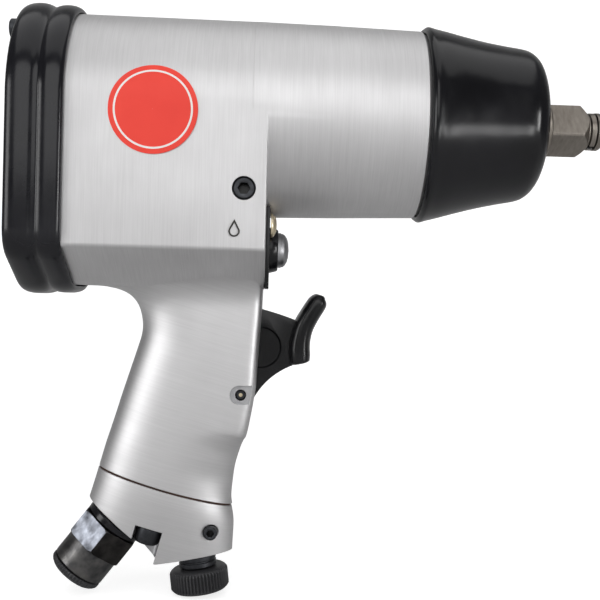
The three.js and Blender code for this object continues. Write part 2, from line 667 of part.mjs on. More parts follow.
// Outline of a ribbon from its middle line and half thickness
function ribbon(rows) {
  const sides = [1, -1].map((side) => rows.map(([x, z, half], i) => {
    const [fromX, fromZ] = rows[Math.max(i - 1, 0)];
    const [toX, toZ] = rows[Math.min(i + 1, rows.length - 1)];
    const length = Math.hypot(toX - fromX, toZ - fromZ);
    return [x + side * half * (toZ - fromZ) / length, z - side * half * (toX - fromX) / length];
  }));
  return shapeOf([...sides[0], ...sides[1].reverse()]);
}

function triggerSolid() {
  const web = new THREE.Shape();
  web.moveTo(-118.2, -61.6);
  web.lineTo(-113.3, -62);
  web.quadraticCurveTo(-107.5, -63.3, -101, -65.6);
  web.lineTo(-99.5, -79.8);
  web.quadraticCurveTo(-109, -83, -113.6, -91);
  web.lineTo(-115, -93.6);
  web.absarc(PIVOT_X, PIVOT_Z, 4.2, -35 * DEG, -170 * DEG, true);
  web.lineTo(-120.2, -70);
  const pad = ribbon(PADDLE);
  const recess = (y0, y1) => rod('y', y0, y1, 6.6, 20).translate(-112.1, 0, -74.9);
  return cut(
    joined(prismY(web, -WEB_THICK_HALF, WEB_THICK_HALF, 5), prismY(pad, -PAD_HALF, PAD_HALF, 6)),
    recess(-20, -WEB_THICK_HALF + 1), recess(WEB_THICK_HALF - 1, 20),
    rod('y', -20, 20, PIN_RADIUS + GAP, 12).translate(PIVOT_X, 0, PIVOT_Z));
}

add('trigger', triggerSolid(), BLACK_PLASTIC);
add('trigger_pin', cut(rod('y', -9.9, 9.9, PIN_RADIUS, 12), rod('y', -12, 12, 0.7, 8))
  .translate(PIVOT_X, 0, PIVOT_Z), BRIGHT_STEEL);

const throttle = (solid) => solid.translate(0, 0, THROTTLE_Z);

add('throttle_seat', throttle(ring('x', -129, -125.6, 2.4, 4.2, 16)), BRASS);
add('throttle_valve', throttle(turned('x', [
  [-132, 0], [-132, 3.4], [-129.3, 3.4], [-129.3, 1.8], [-120.9, 1.8], [-120.9, 0],
], 16)), BRASS);

class Helix extends THREE.Curve {
  constructor(radius, turns, length) {
    super();
    Object.assign(this, { radius, turns, length });
  }

  getPoint(t, target = new THREE.Vector3()) {
    const angle = 2 * Math.PI * this.turns * t;
    return target.set(this.length * t, this.radius * Math.cos(angle), this.radius * Math.sin(angle));
  }
}

function springSolid(radius, wire, turns, length) {
  const options = { steps: turns * 8, bevelEnabled: false, extrudePath: new Helix(radius, turns, length) };
  return solidOf(new THREE.ExtrudeGeometry(hexagon(2 * wire), options));
}

add('throttle_spring', throttle(springSolid(2.7, 0.4, 4, 7.6).translate(-140.4, 0, 0)), BRIGHT_STEEL);

// ---------------------------------------------------------------- reverse valve

const reverse = (solid) => solid.translate(0, 0, REVERSE_Z);

function plateSolid() {
  const sheet = prismX(shapeOf([[-13.5, -55.6], [13.5, -55.6], [13.5, -27], [-13.5, -27]]), -111, -110);
  const boss = reverse(turned('x', [[-110.5, 0], [-110.5, 7.5], [-107.2, 6.8], [-107.2, 0]], 20));
  const screwHole = rod('x', -120, -100, 1.8, 8).translate(0, 0, PLATE_SCREW_Z);
  return cut(joined(sheet, boss),
    rod('x', -120, -100, BARREL_BACK_RADIUS + GAP, 48),
    reverse(rod('x', -120, -100, REVERSE_BORE, 20)),
    screwHole.translate(0, PLATE_SCREW_Y, 0), screwHole.translate(0, -PLATE_SCREW_Y, 0));
}

add('reverse_plate', plateSolid(), BLACK_STEEL);
['left', 'right'].forEach((side, i) => {
  const y = (i === 0 ? 1 : -1) * PLATE_SCREW_Y;
  const screw = turned('x', [
    [-117.5, 0], [-117.5, 1.5], [-109.7, 1.5], [-109.7, 3.9], [-108.9, 3.6], [-108.1, 2.4], [-107.8, 0],
  ], 16);
  add(`reverse_plate_screw_${side}`, screw.translate(0, y, PLATE_SCREW_Z), BRASS);
});

add('reverse_bushing', reverse(cut(
  ring('x', -149.5, -119.6, 4.7, REVERSE_BORE - GAP, 20),
  ...[-144, -134, -125].map((x) => box(x - 1.5, x + 1.5, -2, 2, -8, 8)),
)), BRONZE);
add('reverse_valve', reverse(turned('x', [
  [-144, 0], [-144, 4.4], [-140, 4.4], [-140, 2.6], [-132, 2.6], [-132, 4.4], [-127, 4.4], [-127, 2.6],
  [-119, 2.6], [-113.8, 2.6], [-113.8, 0],
], 16)), BRIGHT_STEEL);
add('reverse_button', reverse(turned('x', [
  [-113.4, 0], [-113.4, 5.8], [-105.8, 5.8], [-104.9, 5.2], [-104.1, 3.9], [-103.6, 0],
])), BLACK_STEEL);

export default wrench;
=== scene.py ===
# Looks of the air impact wrench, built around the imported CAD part.
# Meshes are drawn in millimetres and scaled to metres when they become objects.

import math

import bmesh
import bpy
from mathutils import Matrix, Vector


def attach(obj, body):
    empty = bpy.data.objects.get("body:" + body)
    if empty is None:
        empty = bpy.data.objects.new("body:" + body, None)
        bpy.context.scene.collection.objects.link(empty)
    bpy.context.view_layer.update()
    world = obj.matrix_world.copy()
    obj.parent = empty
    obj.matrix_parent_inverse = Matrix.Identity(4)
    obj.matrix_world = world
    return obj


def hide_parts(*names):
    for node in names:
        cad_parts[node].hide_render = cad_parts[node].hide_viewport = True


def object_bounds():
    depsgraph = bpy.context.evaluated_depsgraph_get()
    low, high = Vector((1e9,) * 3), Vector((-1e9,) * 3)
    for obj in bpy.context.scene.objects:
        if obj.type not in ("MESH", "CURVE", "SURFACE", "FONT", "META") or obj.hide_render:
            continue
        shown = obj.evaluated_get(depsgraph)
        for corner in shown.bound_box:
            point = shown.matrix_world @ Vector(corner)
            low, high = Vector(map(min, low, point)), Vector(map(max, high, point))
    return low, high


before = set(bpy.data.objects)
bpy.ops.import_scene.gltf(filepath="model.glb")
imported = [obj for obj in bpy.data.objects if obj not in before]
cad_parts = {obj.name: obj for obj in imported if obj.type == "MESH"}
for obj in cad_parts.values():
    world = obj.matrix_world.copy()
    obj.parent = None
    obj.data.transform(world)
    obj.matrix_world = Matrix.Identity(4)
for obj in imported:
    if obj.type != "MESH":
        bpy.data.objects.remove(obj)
CAD_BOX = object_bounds()

MM = 0.001

# ---------------------------------------------------------------- main sizes, in millimetres

BARREL_NOSE = -24.2
BOOT_RIM = -61.6
BARREL_RADIUS = 31.9
BODY_FRONT = -111.3
BODY_END = -180.0
BODY_RADIUS = 32.3
BODY_BOTTOM = -55.8
BODY_FOOT = 10.5
CHAMFER_HEIGHT = 11.4
SIDE_DRAFT = 0.6
COVER_FRONT = -181.1
COVER_BACK = -188.3
HANDLE_HALF_WIDTH = 11.3
HANDLE_REAR = -23.1
SEAM_GAP = 0.35
PIVOT = (-118.1, -90.1)
REVERSE_Z = -42.7
THROTTLE_Z = -72.0
BASE_SCREW_U = -0.75
BASE_SCREW_Y = 6.6
OIL_PLUG = (-118.1, -25.9)
PASSAGE_PLUG = (-126.8, -135.1)
COVER_SCREWS = [(18.3, 23.0), (-18.3, 23.0), (20.0, -38.5), (-20.0, -38.5)]


def tilted_frame(x, z, degrees):
    """Matrix of a frame at (x, 0, z) turned about Y, its +Z running up the piece."""
    return Matrix.Translation((x, 0, z)) @ Matrix.Rotation(math.radians(degrees), 4, "Y")


HANDLE_FRAME = tilted_frame(-142.2, -121.3, 15.4)
INLET_FRAME = tilted_frame(-157.95, -132.36, 37.5)
REGULATOR_FRAME = tilted_frame(-131.6, -143.6, -7.4)
PIN_FRAME = Matrix.Translation((PIVOT[0], 0, PIVOT[1]))
REVERSE_FRAME = Matrix.Translation((0, 0, REVERSE_Z))
WRENCH_FRAME = Matrix.Identity(4)

# ---------------------------------------------------------------- materials


def new_material(name):
    material = bpy.data.materials.new(name)
    material.use_nodes = True
    return material, material.node_tree.nodes, material.node_tree.links


def noise_field(nodes, links, scale, stretch=(1, 1, 1), turn=0.0, detail=4.0):
    """Noise in object space, stretched by a factor per axis after a turn about Y."""
    coordinates = nodes.new("ShaderNodeTexCoord")
    mapping = nodes.new("ShaderNodeMapping")
    mapping.vector_type = "POINT"
    turned = nodes.new("ShaderNodeVectorRotate")
    turned.rotation_type = "Y_AXIS"
    turned.inputs["Angle"].default_value = turn
    mapping.inputs["Scale"].default_value = stretch
    noise = nodes.new("ShaderNodeTexNoise")
    noise.inputs["Scale"].default_value = scale
    noise.inputs["Detail"].default_value = detail
    links.new(coordinates.outputs["Object"], turned.inputs["Vector"])
    links.new(turned.outputs["Vector"], mapping.inputs["Vector"])
    links.new(mapping.outputs["Vector"], noise.inputs["Vector"])
    return noise.outputs["Fac"]


def spread(nodes, links, field, low, high):
    """Field mapped to the range low to high, with its middle stretched."""
    mapped = nodes.new("ShaderNodeMapRange")
    mapped.inputs["From Min"].default_value = 0.3
    mapped.inputs["From Max"].default_value = 0.7
    mapped.inputs["To Min"].default_value = low
    mapped.inputs["To Max"].default_value = high
    links.new(field, mapped.inputs["Value"])
    return mapped.outputs["Result"]


def tinted(nodes, links, field, first, second):
    """Colour between first and second as field goes through its middle range."""
    mix = nodes.new("ShaderNodeMix")
    mix.data_type = "RGBA"
    links.new(spread(nodes, links, field, 0.0, 1.0), mix.inputs["Factor"])
    mix.inputs["A"].default_value = (*first, 1)
    mix.inputs["B"].default_value = (*second, 1)
    return mix.outputs["Result"]


def bumped(nodes, links, shader, heights, edge=0.0):
    """Chains bumps of (field, strength, distance) into the shader's normal, over rounded edges."""
    normal = None
    if edge:
        bevel = nodes.new("ShaderNodeBevel")
        bevel.samples = 4
        bevel.inputs["Radius"].default_value = edge * MM
        normal = bevel.outputs["Normal"]
    for field, strength, distance in heights:
        bump = nodes.new("ShaderNodeBump")
        bump.inputs["Strength"].default_value = strength
        bump.inputs["Distance"].default_value = distance
        links.new(field, bump.inputs["Height"])
        if normal is not None:
            links.new(normal, bump.inputs["Normal"])
        normal = bump.outputs["Normal"]
    if normal is not None:
        links.new(normal, shader.inputs["Normal"])


def metal(name, colour, dark, roughness, stretch, turn=0.0, grain=0.25, edge=0.3):
    """Metal with fine streaks: stretch is large along the axis the streaks cross."""
    material, nodes, links = new_material(name)
    shader = nodes["Principled BSDF"]
    shader.inputs["Metallic"].default_value = 1.0
    streaks = noise_field(nodes, links, 1.0, stretch, turn, 6.0)
    clouds = noise_field(nodes, links, 45.0, (1, 1, 1), turn, 3.0)
    blend = nodes.new("ShaderNodeMath")
    blend.operation = "ADD"
    half = nodes.new("ShaderNodeMath")
    half.operation = "MULTIPLY"
    half.inputs[1].default_value = 0.5
    links.new(streaks, blend.inputs[0])
    links.new(clouds, blend.inputs[1])
    links.new(blend.outputs[0], half.inputs[0])
    links.new(tinted(nodes, links, half.outputs[0], dark, colour), shader.inputs["Base Color"])
    low, high = roughness
    links.new(spread(nodes, links, half.outputs[0], high, low), shader.inputs["Roughness"])
    bumped(nodes, links, shader, [(streaks, grain, 0.00008)], edge)
    return material


COAT_ROUGHNESS = 0.06
PLASTIC_SHINE = 0.32                    # mirror-like share of the plastics' reflection


def plastic(name, colour, light, roughness, grain, grain_scale=1800.0, coat=0.0, edge=0.3):
    """Moulded plastic, vinyl or rubber with a fine grain and a faint uneven tone."""
    material, nodes, links = new_material(name)
    shader = nodes["Principled BSDF"]
    shader.inputs["Coat Weight"].default_value = coat
    shader.inputs["Coat Roughness"].default_value = COAT_ROUGHNESS
    shader.inputs["Specular IOR Level"].default_value = PLASTIC_SHINE
    clouds = noise_field(nodes, links, 60.0)
    pores = noise_field(nodes, links, grain_scale)
    links.new(tinted(nodes, links, clouds, colour, light), shader.inputs["Base Color"])
    low, high = roughness
    links.new(spread(nodes, links, clouds, low, high), shader.inputs["Roughness"])
    bumped(nodes, links, shader, [(clouds, 0.15, 0.0006), (pores, grain, 0.00006)], edge)
    return material


HANDLE_TURN = math.radians(-15.4)
BRIGHT = (0.66, 0.655, 0.66)
ALUMINIUM_BODY = metal(
    "aluminium_body", BRIGHT, (0.57, 0.565, 0.57), (0.48, 0.56), (2600, 90, 60), grain=0.15)
ALUMINIUM_HANDLE = metal(
    "aluminium_handle", BRIGHT, (0.58, 0.575, 0.58), (0.42, 0.5), (60, 60, 2600), HANDLE_TURN, 0.15)
ALUMINIUM_RAW = metal(
    "aluminium_raw", (0.5, 0.5, 0.51), (0.36, 0.36, 0.37), (0.42, 0.55), (400, 400, 400))
VINYL = plastic(
    "black_vinyl", (0.004, 0.004, 0.005), (0.007, 0.007, 0.009), (0.16, 0.26), 0.04, 900.0, 0, 0)
RUBBER = plastic(
    "black_rubber", (0.006, 0.006, 0.008), (0.012, 0.012, 0.015), (0.16, 0.26), 0.08, 1500.0, 0, 0)
MOULDED = plastic("black_moulding", (0.003, 0.003, 0.0035), (0.007, 0.007, 0.008), (0.2, 0.32), 0.2)
GREY_MOULDED = plastic("worn_moulding", (0.02, 0.02, 0.022), (0.05, 0.05, 0.053), (0.32, 0.5), 0.4)
OXIDE = metal("black_oxide", (0.075, 0.078, 0.085), (0.03, 0.031, 0.034), (0.3, 0.5), (700, 700, 700))
DRIVE = metal(
    "drive_steel", (0.29, 0.265, 0.235), (0.17, 0.15, 0.13), (0.26, 0.42), (900, 300, 300),
    grain=0.12, edge=0.35)
STEEL = metal("ground_steel", (0.55, 0.55, 0.56), (0.38, 0.38, 0.39), (0.25, 0.4), (1500, 200, 200))
BRASS = metal("brass", (0.85, 0.75, 0.56), (0.66, 0.56, 0.38), (0.25, 0.4), (600, 600, 600), edge=0.2)
BRONZE = metal("bronze", (0.45, 0.3, 0.16), (0.3, 0.19, 0.1), (0.35, 0.5), (600, 600, 600))
PAPER = plastic(
    "gasket_fibre", (0.03, 0.018, 0.015), (0.09, 0.045, 0.035), (0.75, 0.95), 0.5, 2500.0, 0, 0)
RESIN = plastic("vane_resin", (0.07, 0.035, 0.018), (0.14, 0.08, 0.045), (0.55, 0.75), 0.4, 1500.0, 0)
RED_ENAMEL = plastic(
    "red_enamel", (0.74, 0.04, 0.025), (0.8, 0.055, 0.035), (0.4, 0.5), 0.05, 900.0, 0, 0)
PALE_ENAMEL = plastic(
    "pale_enamel", (0.7, 0.66, 0.64), (0.8, 0.77, 0.75), (0.3, 0.4), 0.05, 900.0, 0.2, 0)
STAMP_INK = plastic(
    "stamp_black", (0.015, 0.014, 0.013), (0.04, 0.038, 0.035), (0.5, 0.7), 0.2, 2000.0, 0, 0)


def worn_steel(name, dark, light, roughness):
    """Scratched steel, patchy between two tones."""
    material, nodes, links = new_material(name)
    shader = nodes["Principled BSDF"]
    shader.inputs["Metallic"].default_value = 1.0
    patches = noise_field(nodes, links, 260.0, detail=6.0)
    scratches = noise_field(nodes, links, 1.0, (1400, 500, 500), math.radians(-37.5), 5.0)
    links.new(tinted(nodes, links, patches, dark, light), shader.inputs["Base Color"])
    links.new(spread(nodes, links, scratches, *roughness), shader.inputs["Roughness"])
    bumped(nodes, links, shader, [(patches, 0.25, 0.0002), (scratches, 0.3, 0.0001)], 0.25)
    return material


WORN_STEEL = worn_steel("worn_black_steel", (0.06, 0.06, 0.063), (0.17, 0.165, 0.16), (0.3, 0.46))
BLACKED_STEEL = worn_steel("blacked_steel", (0.018, 0.017, 0.017), (0.05, 0.047, 0.045), (0.3, 0.46))
# Lighter steel for every other flat of the inlet's hexagon: a painted highlight, with scratches and
# patches over it
HIGHLIGHT_FACET_STEEL = worn_steel("highlight_facet_steel", (0.06, 0.063, 0.072), (0.34, 0.36, 0.41), (0.34, 0.5))
GREY_STEEL = metal("grey_steel", (0.45, 0.45, 0.46), (0.28, 0.28, 0.29), (0.28, 0.42), (700, 200, 200))

# ---------------------------------------------------------------- mesh helpers


def make_object(name, vertices, faces, material):
    """Object from points in millimetres, with normals facing out."""
    mesh = bpy.data.meshes.new(name)
    mesh.from_pydata([tuple(Vector(v) * MM) for v in vertices], [], faces)
    work = bmesh.new()
    work.from_mesh(mesh)
    bmesh.ops.remove_doubles(work, verts=work.verts, dist=1e-6)
    bmesh.ops.recalc_face_normals(work, faces=work.faces)
    work.to_mesh(mesh)
    work.free()
    piece = bpy.data.objects.new(name, mesh)
    bpy.context.scene.collection.objects.link(piece)
    mesh.materials.append(material)
    return piece


def loops_object(name, loops, material, closed_path=False, capped=True):
    """Skin over loops of equal point count, with a flat cap at each end of an open path."""
    count = len(loops[0])
    vertices = [point for loop in loops for point in loop]
    faces = []
    spans = len(loops) if closed_path else len(loops) - 1
    for i in range(spans):
        a, b = i * count, (i + 1) % len(loops) * count
        for j in range(count):
            k = (j + 1) % count
            faces.append((a + j, a + k, b + k, b + j))
    if capped and not closed_path:
        faces.append(tuple(range(count)))
        faces.append(tuple(range(len(vertices) - count, len(vertices))))
    return make_object(name, vertices, faces, material)


def lathe(name, axis, profile, material, place=WRENCH_FRAME, segments=96, shift=None):
    """Solid of revolution. A profile of (along, radius) that leaves the axis free is a closed ring."""
    ring = profile[0][1] > 0 or profile[-1][1] > 0
    loops = []
    for along, radius in profile:
        loop = []
        for i in range(segments):
            angle = 2 * math.pi * i / segments
            across, up = radius * math.cos(angle), radius * math.sin(angle)
            if axis == "x":
                point = Vector((along, across, up))
            elif axis == "y":
                point = Vector((across, along, up))
            else:
                point = Vector((across, up, along))
            if shift:
                point += shift(point, radius)
            loop.append(place @ point)
        loops.append(loop)
    return loops_object(name, loops, material, closed_path=ring, capped=False)


def prism(name, axis, outline, low, high, material, place=WRENCH_FRAME):
    """Prism of an outline: (y, z) along x, (x, z) along y, or (x, y) along z."""
    turn = "xyz".index(axis)

    def point(a, b, along):
        across = [a, b]
        across.insert(turn, along)
        return place @ Vector(across)

    loops = [[point(a, b, along) for a, b in outline] for along in (low, high)]
    return loops_object(name, loops, material)


def block(name, x, y, z, material, place=WRENCH_FRAME):
    """Box between a low and a high value on each axis."""
    outline = [(x[0], y[0]), (x[1], y[0]), (x[1], y[1]), (x[0], y[1])]
    return prism(name, "z", outline, z[0], z[1], material, place)


def arc(centre, radius, start, end, count):
    """Points on an arc from start to end, in degrees."""
    points = []
    for i in range(count + 1):
        angle = math.radians(start + (end - start) * i / count)
        points.append((centre[0] + radius * math.cos(angle), centre[1] + radius * math.sin(angle)))
    return points


def quadratic(first, control, last, count=12):
    """Points on a quadratic curve, leaving out the first."""
    points = []
    for i in range(1, count + 1):
        t = i / count
        weights = ((1 - t) ** 2, 2 * t * (1 - t), t * t)
        points.append(tuple(
            weights[0] * a + weights[1] * b + weights[2] * c for a, b, c in zip(first, control, last)))
    return points


def hexagon(across_flats, turn=0.0):
    """Corners of a regular hexagon, the first of them at turn degrees."""
    radius = across_flats / math.sqrt(3)
    angles = [math.radians(turn + 60 * i) for i in range(6)]
    return [(radius * math.cos(angle), radius * math.sin(angle)) for angle in angles]


def smooth_curve(points, steps=6):
    """Points of a Catmull-Rom curve through the given tuples."""
    ends = [points[0]] + list(points) + [points[-1]]
    curve = []
    for i in range(1, len(ends) - 2):
        p0, p1, p2, p3 = (Vector(p) for p in ends[i - 1:i + 3])
        for s in range(steps):
            t = s / steps
            curve.append(tuple(0.5 * (
                2 * p1 + (p2 - p0) * t + (2 * p0 - 5 * p1 + 4 * p2 - p3) * t * t
                + (3 * p1 - p0 - 3 * p2 + p3) * t ** 3)))
    curve.append(tuple(points[-1]))
    return curve


def rounded_outline(points, radius, steps=5):
    """Closed outline with each sharp corner replaced by a small curve."""
    outline = []
    count = len(points)
    for i in range(count):
        before, here, after = (Vector(points[(i + k) % count]) for k in (-1, 0, 1))
        reach_in = min(radius, (before - here).length * 0.45)
        reach_out = min(radius, (after - here).length * 0.45)
        start = here + (before - here).normalized() * reach_in
        end = here + (after - here).normalized() * reach_out
        outline.append(tuple(start))
        outline.extend(quadratic(tuple(start), tuple(here), tuple(end), steps))
    return outline


def settled(piece):
    """Bakes the piece's modifiers into its mesh."""
    graph = bpy.context.evaluated_depsgraph_get()
    mesh = bpy.data.meshes.new_from_object(piece.evaluated_get(graph))
    piece.modifiers.clear()
    piece.data = mesh
    return piece


def combine(piece, operation, *tools):
    """Boolean of the piece with each tool in turn. The tools are used up."""
    for tool in tools:
        step = piece.modifiers.new("combine", "BOOLEAN")
        step.operation = operation
        step.solver = "EXACT"
        step.material_mode = "TRANSFER"
        step.object = tool
        bpy.context.view_layer.update()
        settled(piece)
        bpy.data.objects.remove(tool)
    return piece


def bevelled(piece, width, segments=3, angle=30):
    """Rounds the piece's sharp edges, with width in millimetres."""
    step = piece.modifiers.new("round", "BEVEL")
    step.width = width * MM
    step.segments = segments
    step.limit_method = "ANGLE"
    step.angle_limit = math.radians(angle)
    step.use_clamp_overlap = True
    bpy.context.view_layer.update()
    return settled(piece)


def shaded(piece, angle=35):
    """Smooth shading with creases where faces meet at more than angle."""
    mesh = piece.data
    mesh.shade_smooth()
    work = bmesh.new()
    work.from_mesh(mesh)
    for edge in work.edges:
        if len(edge.link_faces) == 2:
            edge.smooth = edge.calc_face_angle() < math.radians(angle)
    work.to_mesh(mesh)
    work.free()
    return piece


def finished(piece, body, nodes=(), angle=35):
    """Shades the piece, ties it to its body, and lets it stand for CAD nodes."""
    shaded(piece, angle)
    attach(piece, body)
    if nodes:
        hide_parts(*nodes)
    return piece


# ---------------------------------------------------------------- housing

CUT = ALUMINIUM_RAW                     # faces left by machining


def arch_outline(radius, bottom, grow=0.0, corner=2.5):
    """Body section (y, z): a half circle on near-vertical sides, chamfered to a narrow foot."""
    half = radius + grow
    foot = BODY_FOOT + 0.4 * grow
    low = bottom - grow
    points = [(half - SIDE_DRAFT, low + CHAMFER_HEIGHT)]
    lower = [(-half + SIDE_DRAFT, low + CHAMFER_HEIGHT), (-foot, low), (foot, low)]
    crown = arc((0, 0), half, 0, 180, 64)
    corners = rounded_outline([crown[-1]] + lower + points + [crown[0]], corner)
    return crown[1:-1] + corners[6:-6]


def handle_loop(height, rear, front, half_width, squareness, place=HANDLE_FRAME, count=96):
    """Handle section at one height, its front half squared up as squareness grows."""
    loop = []
    for i in range(count):
        angle = 2 * math.pi * i / count
        forward = math.cos(angle) > 0
        power = 2 / (squareness if forward else 1.9)
        along = abs(math.cos(angle)) ** power * (front if forward else rear)
        across = math.copysign(abs(math.sin(angle)) ** power, math.sin(angle)) * half_width
        loop.append(place @ Vector((along, across, height)))
    return loop


HANDLE_STATIONS = [
    (SEAM_GAP, HANDLE_REAR, 22.7, 1.8), (3, HANDLE_REAR, 21.6, 1.8), (8, HANDLE_REAR, 20.6, 1.8),
    (13, -22.95, 19.9, 2.1), (18.5, -22.8, 19.9, 2.6), (22, -22.75, 20.2, 4.2), (25, -22.7, 20.6, 6.5),
    (37.4, -22.3, 19.35, 8), (44, -22.1, 18.1, 8),
]
# Above the last station the loops swing level and run back under the body.
# Each is rear x and z, front x and z, and the share of its length behind the widest point.
NECK_STATIONS = [
    (-151.8, -73.0, -113.06, -83.7, 0.55), (-151.25, -69.5, -112.9, -79.5, 0.56),
    (-151.6, -65.6, -112.6, -75, 0.58), (-152.8, -62, -112.4, -70.5, 0.61),
    (-155.2, -59, -112.1, -66.5, 0.65), (-158.9, -57.1, -111.9, -62.5, 0.7),
    (-163.5, -56.1, -111.8, -59, 0.74), (-169, -55.4, -111.7, -55.7, 0.78),
    (-171, -52, -111.7, -52, 0.78),
]
FLARE_START = -64                       # the handle widens into the body's chamfer between these heights
FLARE_END = -51.8
FLARE_WIDTH = 6.5
FLARE_POWER = 3.4


def flared(point):
    """Point moved out so that the handle's side curves into the chamfer."""
    rise = min(max(point.z, FLARE_START), FLARE_END) - FLARE_START
    share = rise / (FLARE_END - FLARE_START)
    growth = FLARE_WIDTH * share ** FLARE_POWER / HANDLE_HALF_WIDTH
    return Vector((point.x, point.y * (1 + growth), point.z))


def neck_loop(rear_x, rear_z, front_x, front_z, share):
    """Handle section through a rear and a front point, widened where it meets the body."""
    length = math.hypot(front_x - rear_x, front_z - rear_z)
    tilt = math.degrees(math.atan2(rear_z - front_z, front_x - rear_x))
    middle = (rear_x + share * (front_x - rear_x), rear_z + share * (front_z - rear_z))
    loop = handle_loop(0, -share * length, (1 - share) * length, HANDLE_HALF_WIDTH, 8,
                       tilted_frame(*middle, tilt))
    return [flared(point) for point in loop]


def handle_solid():
    """Handle and neck as one skin, from the seam over the base up into the body."""
    loops = [handle_loop(height, rear, front, HANDLE_HALF_WIDTH, square)
             for height, rear, front, square in smooth_curve(HANDLE_STATIONS, 4)]
    loops += [neck_loop(*station) for station in smooth_curve(NECK_STATIONS, 4)[1:]]
    return loops_object("handle", loops, ALUMINIUM_HANDLE)


def pin_bore(material):
    """Cutter for the hole of the trigger pin."""
    return lathe("pin_bore", "y", [(-20, 0), (-20, 1.8), (20, 1.8), (20, 0)], material, PIN_FRAME, 32)


def pin_pocket(side):
    """Shallow slot round one end of the trigger pin, open towards the front."""
    half = 3.0
    outline = arc((PIVOT[0] - 0.5, PIVOT[1]), half, 90, 270, 14)
    outline += [(PIVOT[0] + 12, PIVOT[1] - half), (PIVOT[0] + 12, PIVOT[1] + half)]
    low, high = sorted((side * 10.1, side * 20))
    return prism("pocket", "y", outline, low, high, CUT)


def housing():
    """Barrel, motor body and handle in one, with their bores and pockets cut."""
    shell = lathe("housing_shell", "x", [
        (BARREL_NOSE, 0), (BARREL_NOSE, 15.6), (-25.3, 18.8), (-27.6, 21.2), (-32.1, 22.9),
        (BOOT_RIM, 29.7), (BOOT_RIM - 1, 30.6), (-90, 31.4), (-116, BARREL_RADIUS), (-116, 0),
    ], ALUMINIUM_BODY, segments=128)
    ends = [(BODY_END, BODY_RADIUS + 0.15), (BODY_FRONT, BARREL_RADIUS - 0.1)]
    loops = [[(x, y, z) for y, z in arch_outline(radius, BODY_BOTTOM, 0, 0.9)] for x, radius in ends]
    body = bevelled(loops_object("body", loops, ALUMINIUM_BODY), 0.6)
    combine(shell, "UNION", body, handle_solid())
    cutters = [
        lathe("motor_bore", "x", [(-200, 0), (-200, 26), (-116, 26), (-116, 0)], CUT, segments=64),
        lathe("hammer_bore", "x", [(-117, 0), (-117, 25.4), (-57, 25.4), (-57, 0)], CUT, segments=64),
        lathe("nose_bore", "x", [(-58, 0), (-58, 13.6), (0, 13.6), (0, 0)], CUT, segments=48),
        block("trigger_slot", (-125, -100), (-4.6, 4.6), (-97.5, -60.8), CUT),
        pin_bore(CUT),
        pin_pocket(-1),
        pin_pocket(1),
        lathe("throttle_bore", "x", [(-141, 0), (-141, 4.5), (-124, 4.5), (-124, 0)], CUT,
              Matrix.Translation((0, 0, THROTTLE_Z)), 32),
        lathe("reverse_bore", "x", [(-151, 0), (-151, 6.2), (-100, 6.2), (-100, 0)], CUT,
              REVERSE_FRAME, 48),
        lathe("oil_bore", "y", [(-40, 0), (-40, 3.6), (-25, 3.6), (-25, 0)], CUT,
              Matrix.Translation((OIL_PLUG[0], 0, OIL_PLUG[1])), 32),
    ]
    combine(shell, "DIFFERENCE", *cutters)
    return finished(shell, "housing_body", ["housing"])


housing()

# ---------------------------------------------------------------- rear cover and bumper


def outline_normals(outline):
    """Outward unit vector at each point of a counter-clockwise outline."""
    count = len(outline)
    normals = []
    for i in range(count):
        along = Vector(outline[(i + 1) % count]) - Vector(outline[i - 1])
        normals.append(Vector((along.y, -along.x)).normalized())
    return normals


def band(name, outline, section, material):
    """Closed section of (x, distance out) carried around an outline in (y, z)."""
    normals = outline_normals(outline)
    loops = []
    for point, normal in zip(outline, normals):
        loops.append([(x, point[0] + normal.x * out, point[1] + normal.y * out) for x, out in section])
    return loops_object(name, loops, material, closed_path=True)


def rib(front, back, base, crest, steps=14):
    """Rounded rib across the bumper, from front to back, standing from base up to crest."""
    points = []
    for i in range(steps + 1):
        angle = math.pi * i / steps
        x = (front + back) / 2 + (front - back) / 2 * math.cos(angle)
        points.append((x, base + (crest - base) * math.sin(angle)))
    return points


def bumper():
    outline = arch_outline(BODY_RADIUS, BODY_BOTTOM, 0.0, 5.0)
    section = [(-173.4, 0.3), (-172.1, 0.5)]
    section += rib(-172.1, -180.0, 1.0, 2.7)[:-2]
    section += rib(-180.4, -189.2, 1.2, 3.1)[2:]
    section += [(-189.3, 0.6), (-188.6, 0.3)]
    piece = band("rear_bumper_band", outline, section, RUBBER)
    return finished(piece, "housing_body", ["rear_bumper"], 60)


def cover():
    piece = prism("rear_cover_plate", "x", arch_outline(BODY_RADIUS, BODY_BOTTOM), COVER_BACK, COVER_FRONT,
                  ALUMINIUM_RAW)
    bevelled(piece, 0.8)
    dish = lathe("dish", "x", [(-190, 0), (-190, 21), (-187, 19.5), (-187, 0)], CUT, segments=96)
    combine(piece, "DIFFERENCE", dish)
    return finished(piece, "housing_body", ["rear_cover"])


def cap_screw(name, x, radius, place, node):
    """Socket cap screw along X whose head sits behind x."""
    head = lathe(name, "x", [
        (x - 2 * radius, 0), (x - 2 * radius, 1.55 * radius), (x - 1.8 * radius, 1.75 * radius),
        (x - 0.3, 1.75 * radius), (x - 0.3, radius), (x + 14, radius), (x + 14, 0),
    ], OXIDE, place, 48)
    socket = prism("socket", "x", hexagon(1.7 * radius), x - 3 * radius, x - radius, OXIDE, place)
    combine(head, "DIFFERENCE", socket)
    return finished(head, "housing_body", [node])


bumper()
cover()
for number, (screw_y, screw_z) in enumerate(COVER_SCREWS, 1):
    cap_screw(f"cover_screw_{number}", COVER_BACK, 1.8, Matrix.Translation((0, screw_y, screw_z)),
              f"rear_cover_screw_{number}")

# ---------------------------------------------------------------- front boot


